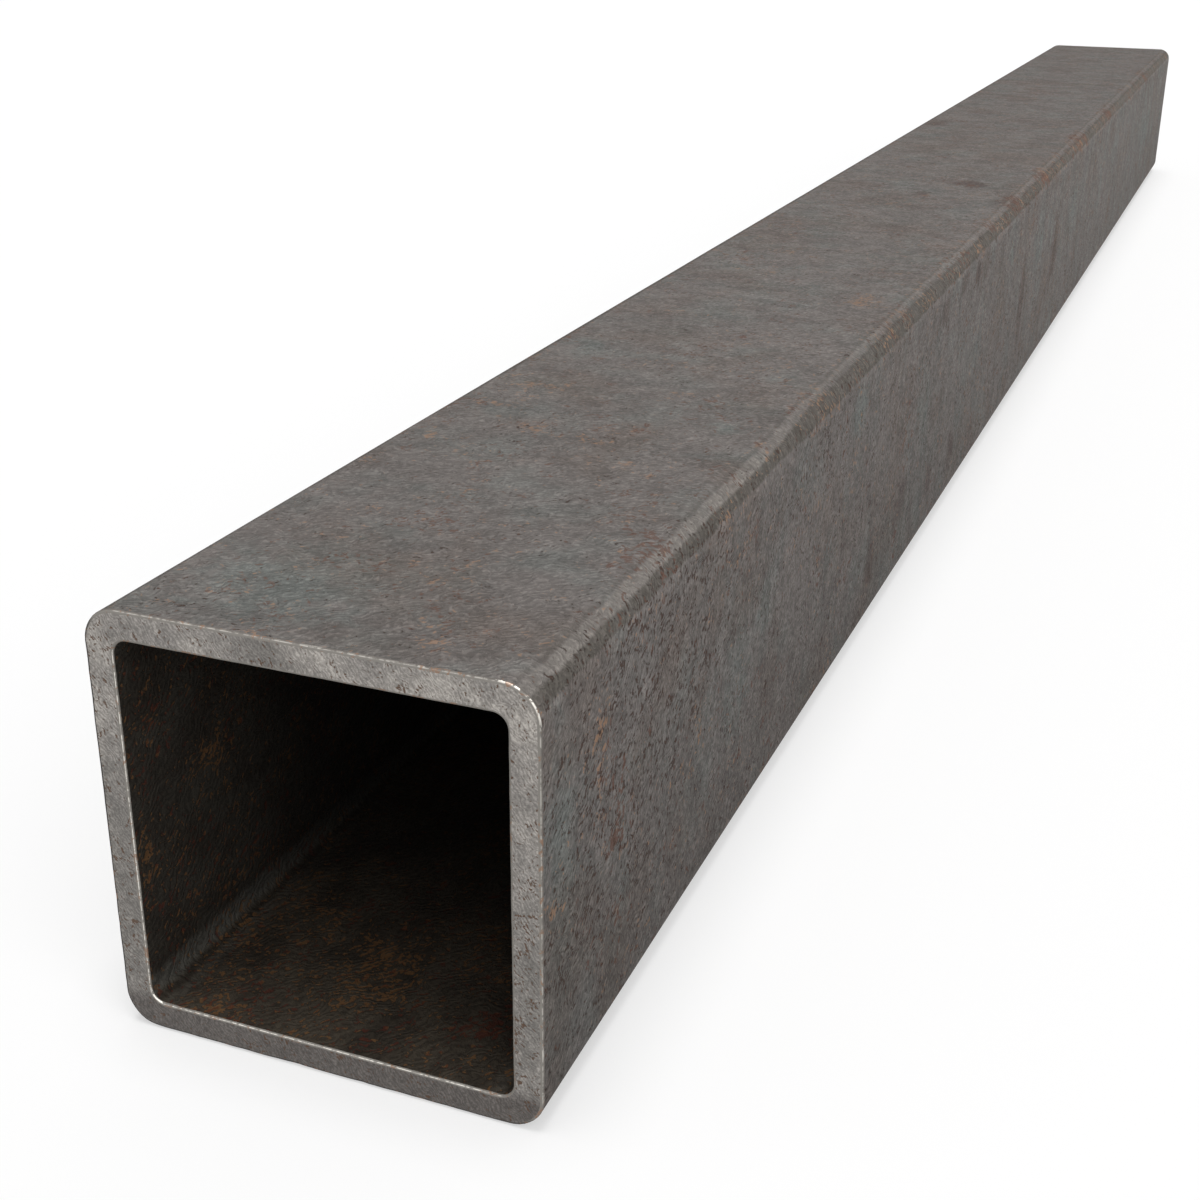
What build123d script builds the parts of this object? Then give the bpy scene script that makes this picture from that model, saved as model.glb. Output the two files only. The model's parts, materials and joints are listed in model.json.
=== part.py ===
from build123d import *
import os

# Square steel tube: one length of hollow square section, sawn square at both ends.
# It lies along X on the plane Z = 0, with the origin under its middle. All sizes are in mm.

# Driving dimensions
length = 1000.0  # from saw cut to saw cut, along X
section = 75.0  # across the flats, the same in Y and Z
wall = 5.0  # thickness of each of the four sides
outer_corner_radius = 6.0  # rounding of the long outside corners
inner_corner_radius = 2.5  # rounding of the long inside corners
outer_deburr = 0.5  # bevel filed round the outside of each cut end
inner_deburr = 0.4  # bevel filed round the mouth of the bore

# Worked out from them
bore = section - 2 * wall  # across the flats of the opening

# The section stands on Z = 0 at the tube's -X end, looking along the tube.
cut_plane = Plane(origin=(-length / 2, 0, section / 2), x_dir=(0, 1, 0), z_dir=(1, 0, 0))

with BuildPart() as square_tube:
    with BuildSketch(cut_plane):
        RectangleRounded(section, section, outer_corner_radius)
        RectangleRounded(bore, bore, inner_corner_radius, mode=Mode.SUBTRACT)
    extrude(amount=length)

    # Both saw cuts are freed of their burr, outside and in the mouth of the bore.
    saw_cuts = square_tube.faces().filter_by(Axis.X)
    outer_rims = [edge for cut in saw_cuts for edge in cut.outer_wire().edges()]
    bore_rims = [edge for cut in saw_cuts for wire in cut.inner_wires() for edge in wire.edges()]
    chamfer(outer_rims, length=outer_deburr)
    chamfer(bore_rims, length=inner_deburr)

square_tube.part.label = "square_tube"

os.makedirs("parts", exist_ok=True)
export_step(square_tube.part, "parts/square_tube.step")
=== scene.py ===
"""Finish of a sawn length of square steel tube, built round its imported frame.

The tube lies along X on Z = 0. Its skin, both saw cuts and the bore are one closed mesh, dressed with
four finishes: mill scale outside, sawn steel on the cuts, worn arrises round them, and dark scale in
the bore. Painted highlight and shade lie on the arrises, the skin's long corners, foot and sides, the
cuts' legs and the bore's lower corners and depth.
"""

from __future__ import annotations

import json
import logging
import math
from dataclasses import dataclass, field
from enum import Enum
from typing import Any

import bmesh
import bpy
import numpy as np
from mathutils import Matrix, Vector, noise

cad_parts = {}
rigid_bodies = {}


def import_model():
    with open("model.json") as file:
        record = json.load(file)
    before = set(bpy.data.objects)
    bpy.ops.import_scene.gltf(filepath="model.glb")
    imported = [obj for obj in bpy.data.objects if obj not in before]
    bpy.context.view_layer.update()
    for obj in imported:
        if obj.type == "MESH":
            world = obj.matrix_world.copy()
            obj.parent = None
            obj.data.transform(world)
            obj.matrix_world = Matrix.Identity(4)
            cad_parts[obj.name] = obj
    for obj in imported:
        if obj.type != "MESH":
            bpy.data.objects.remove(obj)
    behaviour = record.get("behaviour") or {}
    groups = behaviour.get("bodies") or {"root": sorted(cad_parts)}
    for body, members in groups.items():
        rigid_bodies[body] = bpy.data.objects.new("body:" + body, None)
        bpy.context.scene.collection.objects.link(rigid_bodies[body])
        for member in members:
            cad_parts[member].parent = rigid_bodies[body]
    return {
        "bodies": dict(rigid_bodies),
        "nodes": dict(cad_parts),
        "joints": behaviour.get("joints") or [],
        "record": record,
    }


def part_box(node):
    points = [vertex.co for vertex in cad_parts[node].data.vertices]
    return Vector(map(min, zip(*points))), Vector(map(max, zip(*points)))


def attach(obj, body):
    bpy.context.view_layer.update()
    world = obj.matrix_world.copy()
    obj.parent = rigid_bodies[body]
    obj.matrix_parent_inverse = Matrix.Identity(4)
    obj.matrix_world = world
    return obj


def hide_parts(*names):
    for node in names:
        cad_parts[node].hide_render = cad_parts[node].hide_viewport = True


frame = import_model()

MM = 0.001
TUBE_NODE = "square_tube"

Colour = tuple[float, float, float]
Triple = tuple[float, float, float]
Range = tuple[float, float]
Window = tuple[Range, Range]
Socket = bpy.types.NodeSocket
Value = Socket | float

log = logging.getLogger("tube")


def paint(red: int, green: int, blue: int) -> Colour:
    """Gives the linear colour of a screen colour.

    Args:
        red, green, blue: the screen colour's parts, from 0 to 255.

    Returns:
        The same colour in linear light.
    """

    def linear(part: int) -> float:
        """Linear light of one part."""
        share = part / 255
        return share / 12.92 if share <= 0.04045 else ((share + 0.055) / 1.055) ** 2.4

    return linear(red), linear(green), linear(blue)


def put_in_scene(name: str, data: bpy.types.ID) -> bpy.types.Object:
    """Makes an object and puts it into the scene.

    Args:
        name: the object's name.
        data: its mesh, lamp or camera.

    Returns:
        The object.
    """
    made = bpy.data.objects.new(name, data)
    bpy.context.scene.collection.objects.link(made)
    return made


# ---------------------------------------------------------------------------------------------
# Sizes and shape
# ---------------------------------------------------------------------------------------------


class Zone(Enum):
    """The surfaces of the tube that are finished differently. The value is the material's index."""

    MILL_SCALE = 0
    ARRIS = 1
    SAWN_FACE = 2
    BORE = 3


@dataclass(frozen=True)
class SectionSizes:
    """Sizes of the section and its saw cuts, in metres."""

    length: float
    width: float
    wall: float
    outer_radius: float = 6.0 * MM
    inner_radius: float = 2.5 * MM
    outer_bevel: float = 0.5 * MM
    bore_bevel: float = 0.4 * MM

    @classmethod
    def from_frame(cls, packed: dict[str, Any], node: str) -> SectionSizes:
        """Reads what the frame holds of the section.

        Args:
            packed: the loaded frame.
            node: the tube's node.

        Returns:
            The sizes, with the length and width of the node, and the wall whose middle the mount of
            the cut marks.
        """
        low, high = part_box(node)
        cut = next(m for m in packed["record"]["mounts"] if m["name"] == "plus_x_cut")
        return cls(length=high.x - low.x, width=high.y - low.y, wall=2 * cut["pos_m"][2])

    @property
    def bore(self) -> float:
        """Width of the opening across its flats."""
        return self.width - 2 * self.wall


@dataclass(frozen=True)
class Outline:
    """A rounded square round the tube's axis, as points and outward normals in the YZ plane."""

    points: np.ndarray
    normals: np.ndarray

    @classmethod
    def rounded_square(cls, width: float, radius: float, flat_steps: int, arc_steps: int) -> Outline:
        """Lays the points out side by side, so that outlines of other sizes match them one to one.

        Args:
            width: size across the flats.
            radius: rounding of the corners.
            flat_steps: how many steps each flat is cut into.
            arc_steps: how many steps each corner is cut into.

        Returns:
            The outline, centred on the origin and starting at the top of the +Y side.
        """
        reach = width / 2 - radius
        points: list[tuple[float, float]] = []
        normals: list[tuple[float, float]] = []
        for side in range(4):
            start = side * math.pi / 2
            for step in range(arc_steps):
                turn = start + math.pi / 2 * step / arc_steps
                centre = start + math.pi / 4
                out = math.sqrt(2) * reach
                corner = (out * math.cos(centre), out * math.sin(centre))
                normal = (math.cos(turn), math.sin(turn))
                points.append((corner[0] + radius * normal[0], corner[1] + radius * normal[1]))
                normals.append(normal)
            facing = start + math.pi / 2
            normal = (math.cos(facing), math.sin(facing))
            along = (-normal[1], normal[0])
            for step in range(flat_steps):
                slide = -reach + 2 * reach * step / flat_steps
                points.append(
                    (normal[0] * width / 2 + along[0] * slide, normal[1] * width / 2 + along[1] * slide)
                )
                normals.append(normal)
        return cls(np.array(points), np.array(normals))

    def run(self) -> np.ndarray:
        """Distance of each point from the first one, measured along the outline."""
        steps = np.linalg.norm(np.roll(self.points, -1, axis=0) - self.points, axis=1)
        return np.concatenate([[0.0], np.cumsum(steps)[:-1]])


@dataclass(frozen=True)
class Nick:
    """A small dent in the rim of a saw cut.

    Attributes:
        end: +1 or -1, the end of the tube.
        turn: place round the section, as a share of one turn.
        length: how far it runs along the rim.
        depth: how deep it is.
    """

    end: int
    turn: float
    length: float
    depth: float


Row = tuple[np.ndarray | float, np.ndarray, Zone]


@dataclass
class TubeBody:
    """The whole tube as one closed mesh: skin, arrises, saw cuts and bore.

    Attributes:
        sizes: the section's sizes.
        name: the piece's name.
        flat_steps, arc_steps: steps along each flat and round each corner of the section.
        bevel_steps: steps across an arris.
        face_steps: where the loops on a cut lie, as shares of the wall.
        end_step, longest_step, step_growth: spacing of the loops on the skin, which grows inwards.
        bore_step: spacing of the loops in the bore.
        support: distance of a loop that keeps the edge beside it crisp.
        bevel_wobble, bevel_wobble_length: how much an arris varies in width, and over what length.
        waviness, waviness_length: depth and length of the waves in the skin.
        nicks_per_end: how many dents each rim has.
        nick_length, nick_depth: their least and greatest size, in millimetres.
        seed: picks their places.
        nicks: the dents, once they are chosen.
    """

    sizes: SectionSizes
    name: str = "tube_body"
    flat_steps: int = 60
    arc_steps: int = 10
    bevel_steps: int = 3
    face_steps: Triple = (0.3, 0.5, 0.7)
    end_step: float = 1.6 * MM
    longest_step: float = 7.0 * MM
    step_growth: float = 1.07
    bore_step: float = 16.0 * MM
    support: float = 0.15 * MM
    bevel_wobble: float = 0.24
    bevel_wobble_length: float = 2.2 * MM
    waviness: float = 0.05 * MM
    waviness_length: float = 38.0 * MM
    nicks_per_end: int = 8
    nick_length: Range = (1.2, 3.0)
    nick_depth: Range = (0.04, 0.12)
    seed: int = 11
    nicks: list[Nick] = field(default_factory=list)

    def build(self) -> bpy.types.Object:
        """Makes the tube's object.

        Returns:
            The object, with one material index for each zone.
        """
        self.nicks = self.scatter_nicks()
        loops, zones = self.lay_loops()
        return put_in_scene(self.name, self.skin(loops, zones))

    def dress(self, body: bpy.types.Object, finishes: dict[Zone, bpy.types.Material]) -> None:
        """Gives each zone its material, hangs the piece on the root body and hides the imported tube.

        Args:
            body: the tube's object.
            finishes: the material of each zone.
        """
        for zone in Zone:
            body.data.materials.append(finishes[zone])
        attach(body, "root")
        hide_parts(TUBE_NODE)

    def scatter_nicks(self) -> list[Nick]:
        """Chooses where both rims were knocked in handling.

        Returns:
            The nicks of both ends.
        """
        rng = np.random.default_rng(self.seed)
        return [
            Nick(
                end=end,
                turn=float(rng.uniform(0, 1)),
                length=float(rng.uniform(*self.nick_length)) * MM,
                depth=float(rng.uniform(*self.nick_depth)) * MM,
            )
            for end in (1, -1)
            for _ in range(self.nicks_per_end)
        ]

    def stations(self) -> list[float]:
        """Places along the tube where the skin has a loop, close together near both cuts.

        Returns:
            The places, from -X to +X.
        """
        half = self.sizes.length / 2 - self.sizes.outer_bevel - self.support
        steps = [0.0]
        step = self.end_step
        while steps[-1] + step < half:
            steps.append(steps[-1] + step)
            step = min(step * self.step_growth, self.longest_step)
        inner = [half - s for s in steps]
        return [-x for x in inner] + [0.0] + inner[::-1]

    def lay_loops(self) -> tuple[list[np.ndarray], list[Zone]]:
        """Lays loops along the skin, over the +X cut, back through the bore and over the -X cut.

        Returns:
            The loops, and for each the zone of the strip between it and the next one.
        """
        s = self.sizes
        outer = Outline.rounded_square(s.width, s.outer_radius, self.flat_steps, self.arc_steps)
        inner = Outline.rounded_square(s.bore, s.inner_radius, self.flat_steps, self.arc_steps)
        rows: list[Row] = [
            (x, outer.points - outer.normals * self.sink(x, outer)[:, None], Zone.MILL_SCALE)
            for x in self.stations()
        ]
        rows += self.cut_rows(outer, inner, 1)
        bore_end = s.length / 2 - s.bore_bevel - self.support
        bore_loops = max(2, round(2 * bore_end / self.bore_step))
        rows += [(x, inner.points, Zone.BORE) for x in np.linspace(bore_end, -bore_end, bore_loops + 1)]
        rows += self.cut_rows(outer, inner, -1)
        loops = [
            np.column_stack([np.broadcast_to(x, len(flat)), flat[:, 0], flat[:, 1] + s.width / 2])
            for x, flat, _ in rows
        ]
        return loops, [zone for _, _, zone in rows]

    def cut_rows(self, outer: Outline, inner: Outline, end: int) -> list[Row]:
        """Lays the loops of one saw cut with both of its arrises, in the order of the loops round it.

        Args:
            outer: the outline of the skin.
            inner: the outline of the bore.
            end: +1 for the cut at +X, from the skin to the bore, and -1 for the other one, back again.

        Returns:
            The loops.
        """
        cut = self.sizes.length / 2
        wide = self.sizes.outer_bevel * self.wobble(outer, layer=end)
        narrow = self.sizes.bore_bevel * self.wobble(inner, layer=3 * end)
        dent = self.dents(outer, end)
        turns = [math.pi / 2 * step / self.bevel_steps for step in range(self.bevel_steps + 1)]
        rim = outer.points - outer.normals * (wide + dent)[:, None]
        mouth = inner.points + inner.normals * narrow[:, None]
        rows: list[Row] = []
        for turn in turns:
            inset = wide * (1 - math.cos(turn)) + dent
            x = cut - wide * (1 - math.sin(turn)) - dent * math.sin(turn)
            rows.append((x, outer.points - outer.normals * inset[:, None], Zone.ARRIS))
        rows[-1] = (*rows[-1][:2], Zone.SAWN_FACE)
        band = np.linalg.norm(mouth - rim, axis=1)
        for share in (self.support / band, *self.face_steps, 1 - self.support / band):
            flat = rim + (mouth - rim) * np.broadcast_to(share, len(band))[:, None]
            rows.append((np.full(len(band), cut), flat, Zone.SAWN_FACE))
        for turn in turns:
            inset = narrow * (1 - math.sin(turn))
            x = cut - narrow * (1 - math.cos(turn))
            rows.append((x, inner.points + inner.normals * inset[:, None], Zone.ARRIS))
        rows[-1] = (*rows[-1][:2], Zone.BORE)
        if end > 0:
            return rows
        zones = [zone for _, _, zone in rows[-2::-1]] + [Zone.MILL_SCALE]
        return [(-x, flat, zone) for (x, flat, _), zone in zip(rows[::-1], zones)]

    def sink(self, x: float, outline: Outline) -> np.ndarray:
        """How far the skin lies inside its nominal outline at one place along the tube.

        Args:
            x: the place.
            outline: the outline there.

        Returns:
            The depth at each point, never negative.
        """
        places = [Vector((x, y, z)) / self.waviness_length for y, z in outline.points]
        depth = np.array([self.waviness * (0.5 + 0.5 * noise.noise(place)) for place in places])
        return np.clip(depth, 0.0, None)

    def wobble(self, outline: Outline, layer: int) -> np.ndarray:
        """Uneven width of a worn arris, as a factor with a mean of one.

        Args:
            outline: the outline that the arris follows.
            layer: picks one pattern for each arris.

        Returns:
            The factor at each point.
        """
        layer_gap = 0.1
        places = [
            Vector((y, z, layer * layer_gap)) / self.bevel_wobble_length for y, z in outline.points
        ]
        return np.array([1 + self.bevel_wobble * noise.noise(place) for place in places])

    def dents(self, outline: Outline, end: int) -> np.ndarray:
        """Depth of the nicks round the outer rim of one cut.

        Args:
            outline: the outline of the skin.
            end: the end of the tube, +1 or -1.

        Returns:
            The depth at each point.
        """
        run = outline.run()
        total = run[-1] + run[1]
        depth = np.zeros(len(run))
        for nick in self.nicks:
            if nick.end == end:
                apart = np.abs(run - nick.turn * total)
                apart = np.minimum(apart, total - apart)
                depth += nick.depth * np.exp(-((apart / (nick.length / 2)) ** 2))
        return depth

    def skin(self, loops: list[np.ndarray], zones: list[Zone]) -> bpy.types.Mesh:
        """Joins each loop to the next, and the last to the first.

        Args:
            loops: the loops of points.
            zones: the zone of the strip that starts at each loop.

        Returns:
            The closed mesh.
        """
        shape = bmesh.new()
        rings = [[shape.verts.new(point) for point in loop] for loop in loops]
        count = len(rings[0])
        for here, ring in enumerate(rings):
            ahead = rings[(here + 1) % len(rings)]
            for index in range(count):
                following = (index + 1) % count
                face = shape.faces.new((ring[index], ring[following], ahead[following], ahead[index]))
                face.material_index = zones[here].value
                face.smooth = True
        bmesh.ops.recalc_face_normals(shape, faces=shape.faces)
        mesh = bpy.data.meshes.new(self.name)
        shape.to_mesh(mesh)
        shape.free()
        return mesh


# ---------------------------------------------------------------------------------------------
# Node drawing
# ---------------------------------------------------------------------------------------------


class Sketch:
    """Draws nodes in one node tree and links them."""

    def __init__(self, tree: bpy.types.NodeTree) -> None:
        """Starts on a tree.

        Args:
            tree: the tree to draw in.
        """
        self.tree = tree

    def node(self, kind: str, **settings: Any) -> bpy.types.Node:
        """Adds a node.

        Args:
            kind: the node's type.
            settings: properties to set on it.

        Returns:
            The node.
        """
        made = self.tree.nodes.new(kind)
        for key, value in settings.items():
            setattr(made, key, value)
        return made

    def feed(self, socket: Socket, value: Any) -> None:
        """Links a socket to an input, or sets the input to a constant.

        Args:
            socket: the input.
            value: a socket, number or colour.
        """
        if isinstance(value, bpy.types.NodeSocket):
            self.tree.links.new(value, socket)
        elif socket.type == "RGBA":
            socket.default_value = (*value, 1.0)
        elif socket.type == "VECTOR" and isinstance(value, (int, float)):
            socket.default_value = (value, value, value)
        else:
            socket.default_value = value

    def fill(self, node: bpy.types.Node, *values: Any, **named: Any) -> bpy.types.Node:
        """Feeds several inputs of a node.

        Args:
            node: the node.
            values: what its first inputs take, in order.
            named: what other inputs take by name, with _ for a space.

        Returns:
            The node.
        """
        for socket, value in zip(node.inputs, values):
            self.feed(socket, value)
        for name, value in named.items():
            self.feed(node.inputs[name.replace("_", " ")], value)
        return node

    def math(self, operation: str, *values: Value, clamp: bool = False) -> Socket:
        """Works a sum out.

        Args:
            operation: the Math node's operation.
            values: its inputs in order.
            clamp: whether the result is kept from 0 to 1.

        Returns:
            The result.
        """
        made = self.node("ShaderNodeMath", operation=operation, use_clamp=clamp)
        return self.fill(made, *values).outputs[0]

    def vector(self, operation: str, *values: Any) -> Socket:
        """Works a sum of vectors out.

        Args:
            operation: the Vector Math node's operation.
            values: its inputs in order.

        Returns:
            The result, a value for a length or a dot product and a vector otherwise.
        """
        made = self.fill(self.node("ShaderNodeVectorMath", operation=operation), *values)
        return made.outputs["Value" if operation in ("LENGTH", "DOT_PRODUCT") else "Vector"]

    def times(self, first: Value, second: Value) -> Socket:
        """The product of two values."""
        return self.math("MULTIPLY", first, second)

    def plus(self, first: Value, second: Value) -> Socket:
        """The sum of two values."""
        return self.math("ADD", first, second)

    def minus(self, first: Value, second: Value) -> Socket:
        """The first value less the second."""
        return self.math("SUBTRACT", first, second)

    def larger(self, first: Value, second: Value) -> Socket:
        """The larger of two values."""
        return self.math("MAXIMUM", first, second)

    def size_of(self, value: Value) -> Socket:
        """A value without its sign."""
        return self.math("ABSOLUTE", value)

    def grown(self, value: Value, gain: Value, start: Value) -> Socket:
        """A value times a gain, added to a start."""
        return self.math("MULTIPLY_ADD", value, gain, start)

    def spread(
        self, value: Value, low: Value, high: Value, to_low: Value = 0.0, to_high: Value = 1.0
    ) -> Socket:
        """Maps a range smoothly onto another.

        Args:
            value: what is mapped.
            low, high: the range it comes from.
            to_low, to_high: the range it goes to.

        Returns:
            The mapped value, kept inside its range.
        """
        made = self.node("ShaderNodeMapRange", interpolation_type="SMOOTHSTEP", clamp=True)
        self.fill(made, Value=value, From_Min=low, From_Max=high, To_Min=to_low, To_Max=to_high)
        return made.outputs["Result"]

    def between(self, mask: Socket, at_none: Value, at_full: Value) -> Socket:
        """Goes smoothly from one value to another as a mask goes from 0 to 1."""
        return self.spread(mask, 0.0, 1.0, at_none, at_full)

    def window(self, value: Value, rise: Range, fall: Range) -> Socket:
        """Mask that rises over one range of a value and falls over another."""
        return self.times(self.spread(value, *rise), self.spread(value, *fall))

    def blend(self, share: Value, under: Any, over: Any, mode: str = "MIX") -> Socket:
        """Lays one colour over another.

        Args:
            share: how much of the upper colour shows.
            under: the lower colour.
            over: the upper colour.
            mode: how they blend.

        Returns:
            The blended colour.
        """
        made = self.node("ShaderNodeMix", data_type="RGBA", blend_type=mode, clamp_factor=True)
        self.feed(made.inputs[0], share)
        self.feed(made.inputs[6], under)
        self.feed(made.inputs[7], over)
        return made.outputs[2]

    def cover(self, under: Any, over: Any, mask: Value, share: Value) -> Socket:
        """Lays one colour over another where a mask says, as strongly as a share says."""
        return self.blend(self.times(mask, share), under, over)

    def tint(self, colour: Any, factor: Socket) -> Socket:
        """Makes a colour lighter or darker by a factor that changes over the surface."""
        return self.blend(1.0, colour, factor, mode="MULTIPLY")

    def vary(self, colour: Any, mask: Socket, at_none: Value, at_full: Value) -> Socket:
        """Makes a colour lighter or darker by a factor that goes with a mask."""
        return self.tint(colour, self.between(mask, at_none, at_full))

    def mix(self, share: Value, under: Socket, over: Socket) -> Socket:
        """Lays one shader over another."""
        return self.fill(self.node("ShaderNodeMixShader"), share, under, over).outputs[0]

    def noise(self, place: Socket, detail: float, roughness: float, distortion: float) -> Socket:
        """Samples noise whose features are about one unit of the given place.

        Args:
            place: where the noise is read.
            detail: how many finer layers it has.
            roughness: how strong the finer layers are.
            distortion: how much it swirls.

        Returns:
            The noise, about 0.5 on average.
        """
        made = self.node("ShaderNodeTexNoise", noise_dimensions="3D")
        self.fill(
            made, Vector=place, Scale=1.0, Detail=detail, Roughness=roughness, Distortion=distortion
        )
        return made.outputs[0]

    def place(self, size: Value, stretch: Any, shift: Value) -> Socket:
        """Gives places on the tube in units of a feature's size.

        Args:
            size: the feature's size, in millimetres.
            stretch: how many times longer it is along X, Y and Z.
            shift: moves the pattern, so that two patterns of one size differ.

        Returns:
            The place.
        """
        squeezed = self.vector("DIVIDE", self.coordinate("Object"), stretch)
        return self.vector("MULTIPLY_ADD", squeezed, self.math("DIVIDE", 1.0 / MM, size), shift)

    def coordinate(self, space: str) -> Socket:
        """A texture coordinate: Object for the place in metres, or Normal."""
        return self.node("ShaderNodeTexCoord").outputs[space]

    def axis(self, space: str, name: str) -> Socket:
        """The X, Y or Z of a texture coordinate."""
        return self.fill(self.node("ShaderNodeSeparateXYZ"), self.coordinate(space)).outputs[name]

    def upright(self) -> Socket:
        """Mask of the faces that stand upright along the tube."""
        begins, full = 0.5, 0.85
        return self.spread(self.size_of(self.axis("Normal", "Y")), begins, full)

    def group(self, tree: bpy.types.NodeTree, **values: Any) -> bpy.types.Node:
        """Places a node group with its own values, given by name with _ for a space."""
        return self.fill(self.node("ShaderNodeGroup", node_tree=tree), **values)


class Effect(Enum):
    """The node groups that the finishes share."""

    CLOUDS = "tone_clouds"
    GRAIN = "wavy_grain"
    FLECKS = "rust_flecks"
    MARK = "placed_mark"
    CORNER = "corner_bands"


class GroupSketch(Sketch):
    """Draws one of the shared node groups.

    Attributes:
        given: the group's inputs, in order.
    """

    def __init__(self, effect: Effect, outputs: tuple[str, ...], **inputs: float | Triple) -> None:
        """Opens the group with its sockets.

        Args:
            effect: names the group.
            outputs: the names of its outputs, all plain values.
            inputs: the first value of each input, a number or three for a vector, by the input's
                name with _ for a space.
        """
        super().__init__(bpy.data.node_groups.new(effect.value, "ShaderNodeTree"))
        sockets = self.tree.interface
        for name, value in inputs.items():
            kind = "NodeSocketVector" if isinstance(value, tuple) else "NodeSocketFloat"
            socket = sockets.new_socket(name.replace("_", " "), in_out="INPUT", socket_type=kind)
            socket.default_value = value
        for name in outputs:
            sockets.new_socket(name, in_out="OUTPUT", socket_type="NodeSocketFloat")
        self.given: list[Socket] = self.node("NodeGroupInput").outputs[: len(inputs)]

    def close(self, **results: Socket) -> bpy.types.NodeTree:
        """Feeds the group's outputs by name, and hands the group over."""
        self.fill(self.node("NodeGroupOutput"), **results)
        return self.tree


class EffectShelf:
    """Builds each shared node group once and hands it out."""

    def __init__(self, sizes: SectionSizes) -> None:
        """Builds every group.

        Args:
            sizes: the tube's sizes.
        """
        self.sizes = sizes
        self.trees: dict[Effect, bpy.types.NodeTree] = {
            Effect.CLOUDS: self.make_clouds(),
            Effect.GRAIN: self.make_grain(),
            Effect.FLECKS: self.make_flecks(),
            Effect.MARK: self.make_mark(),
            Effect.CORNER: self.make_corner(),
        }

    def open(self, name: str) -> FinishSketch:
        """Starts a material, and gives a sketch of it."""
        return FinishSketch(name, self.sizes, self.trees)

    @staticmethod
    def make_clouds() -> bpy.types.NodeTree:
        """Soft mottling, where the scale is thicker or thinner. Gives a mask from 0 to 1.

        Returns:
            The group.
        """
        sketch = GroupSketch(
            Effect.CLOUDS, ("Mask",), Size=20.0, Stretch=(1.0, 1.0, 1.0), Shift=0.0, Level=0.5, Edge=0.1
        )
        size, stretch, shift, level, edge = sketch.given
        place = sketch.place(size, stretch, shift)
        value = sketch.noise(place, detail=4.0, roughness=0.55, distortion=0.35)
        return sketch.close(
            Mask=sketch.spread(value, sketch.minus(level, edge), sketch.plus(level, edge))
        )

    @staticmethod
    def make_grain() -> bpy.types.NodeTree:
        """Wavy grain of the oxide: fine crests side by side that bend, part and close.

        Across is the direction from crest to crest. Gives a height from 0 to 1, and a mask of the
        tops of the crests.

        Returns:
            The group.
        """
        sketch = GroupSketch(
            Effect.GRAIN,
            ("Height", "Crest"),
            Pitch=1.6,
            Across=(1.0, 0.0, 0.0),
            Shift=0.0,
            Waver=3.0,
            Sway=6.0,
            Lumps=0.5,
        )
        pitch, across, shift, waver, sway, lumps = sketch.given
        crumb_edge, crest_edge = (0.3, 0.7), (0.62, 0.95)

        def ripples(pitches: float, detail: float, roughness: float, distortion: float) -> Socket:
            """Noise whose features are some pitches long."""
            place = sketch.place(sketch.times(pitch, pitches), 1.0, shift)
            return sketch.noise(place, detail, roughness, distortion)

        bends = ripples(1.9, detail=3.0, roughness=0.6, distortion=0.6)
        swings = ripples(7.0, detail=1.0, roughness=0.5, distortion=0.4)
        crumbs = ripples(0.9, detail=3.0, roughness=0.6, distortion=0.6)
        apart = sketch.vector("DOT_PRODUCT", sketch.place(pitch, 1.0, 0.0), across)
        crests = sketch.grown(swings, sway, sketch.grown(bends, waver, apart))
        wave = sketch.grown(sketch.math("SINE", sketch.times(crests, 2 * math.pi)), 0.5, 0.5)
        change = sketch.times(sketch.minus(sketch.spread(crumbs, *crumb_edge), wave), lumps)
        height = sketch.plus(wave, change)
        return sketch.close(Height=height, Crest=sketch.spread(height, *crest_edge))

    @staticmethod
    def make_flecks() -> bpy.types.NodeTree:
        """Small flecks that gather in groups and settle between the crests of the grain.

        Amount 0 gives none. Follow says how strictly they keep to the hollows, or below 0 to the
        crests. Gives a mask from 0 to 1.

        Returns:
            The group.
        """
        sketch = GroupSketch(
            Effect.FLECKS,
            ("Mask",),
            Size=1.5,
            Shift=0.0,
            Amount=0.1,
            Group_Size=14.0,
            Gather=0.5,
            Height=0.5,
            Follow=0.3,
        )
        size, shift, amount, group_size, gather, height, follow = sketch.given
        highest, softness = 0.78, 0.08
        fine = sketch.noise(sketch.place(size, 1.0, shift), detail=2.0, roughness=0.55, distortion=1.0)
        fine = sketch.plus(fine, sketch.times(sketch.minus(0.5, height), follow))
        place = sketch.place(group_size, 1.0, shift)
        groups = sketch.noise(place, detail=2.0, roughness=0.5, distortion=0.6)
        lift = sketch.times(sketch.minus(groups, 0.5), gather)
        level = sketch.minus(highest, sketch.plus(amount, lift))
        return sketch.close(Mask=sketch.spread(fine, level, sketch.plus(level, softness)))

    @staticmethod
    def make_mark() -> bpy.types.NodeTree:
        """One soft spot at a given place. Gives a mask that fades evenly from its middle to its reach.

        Returns:
            The group.
        """
        sketch = GroupSketch(
            Effect.MARK, ("Mask",), Centre=(0.0, 0.0, 0.0), Reach=(0.01, 0.01, 0.01), Strength=1.0
        )
        centre, reach, strength = sketch.given
        apart = sketch.vector("SUBTRACT", sketch.coordinate("Object"), centre)
        size = sketch.vector("LENGTH", sketch.vector("DIVIDE", apart, reach))
        fade = sketch.math("SUBTRACT", 1.0, size, clamp=True)
        return sketch.close(Mask=sketch.times(fade, strength))

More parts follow.
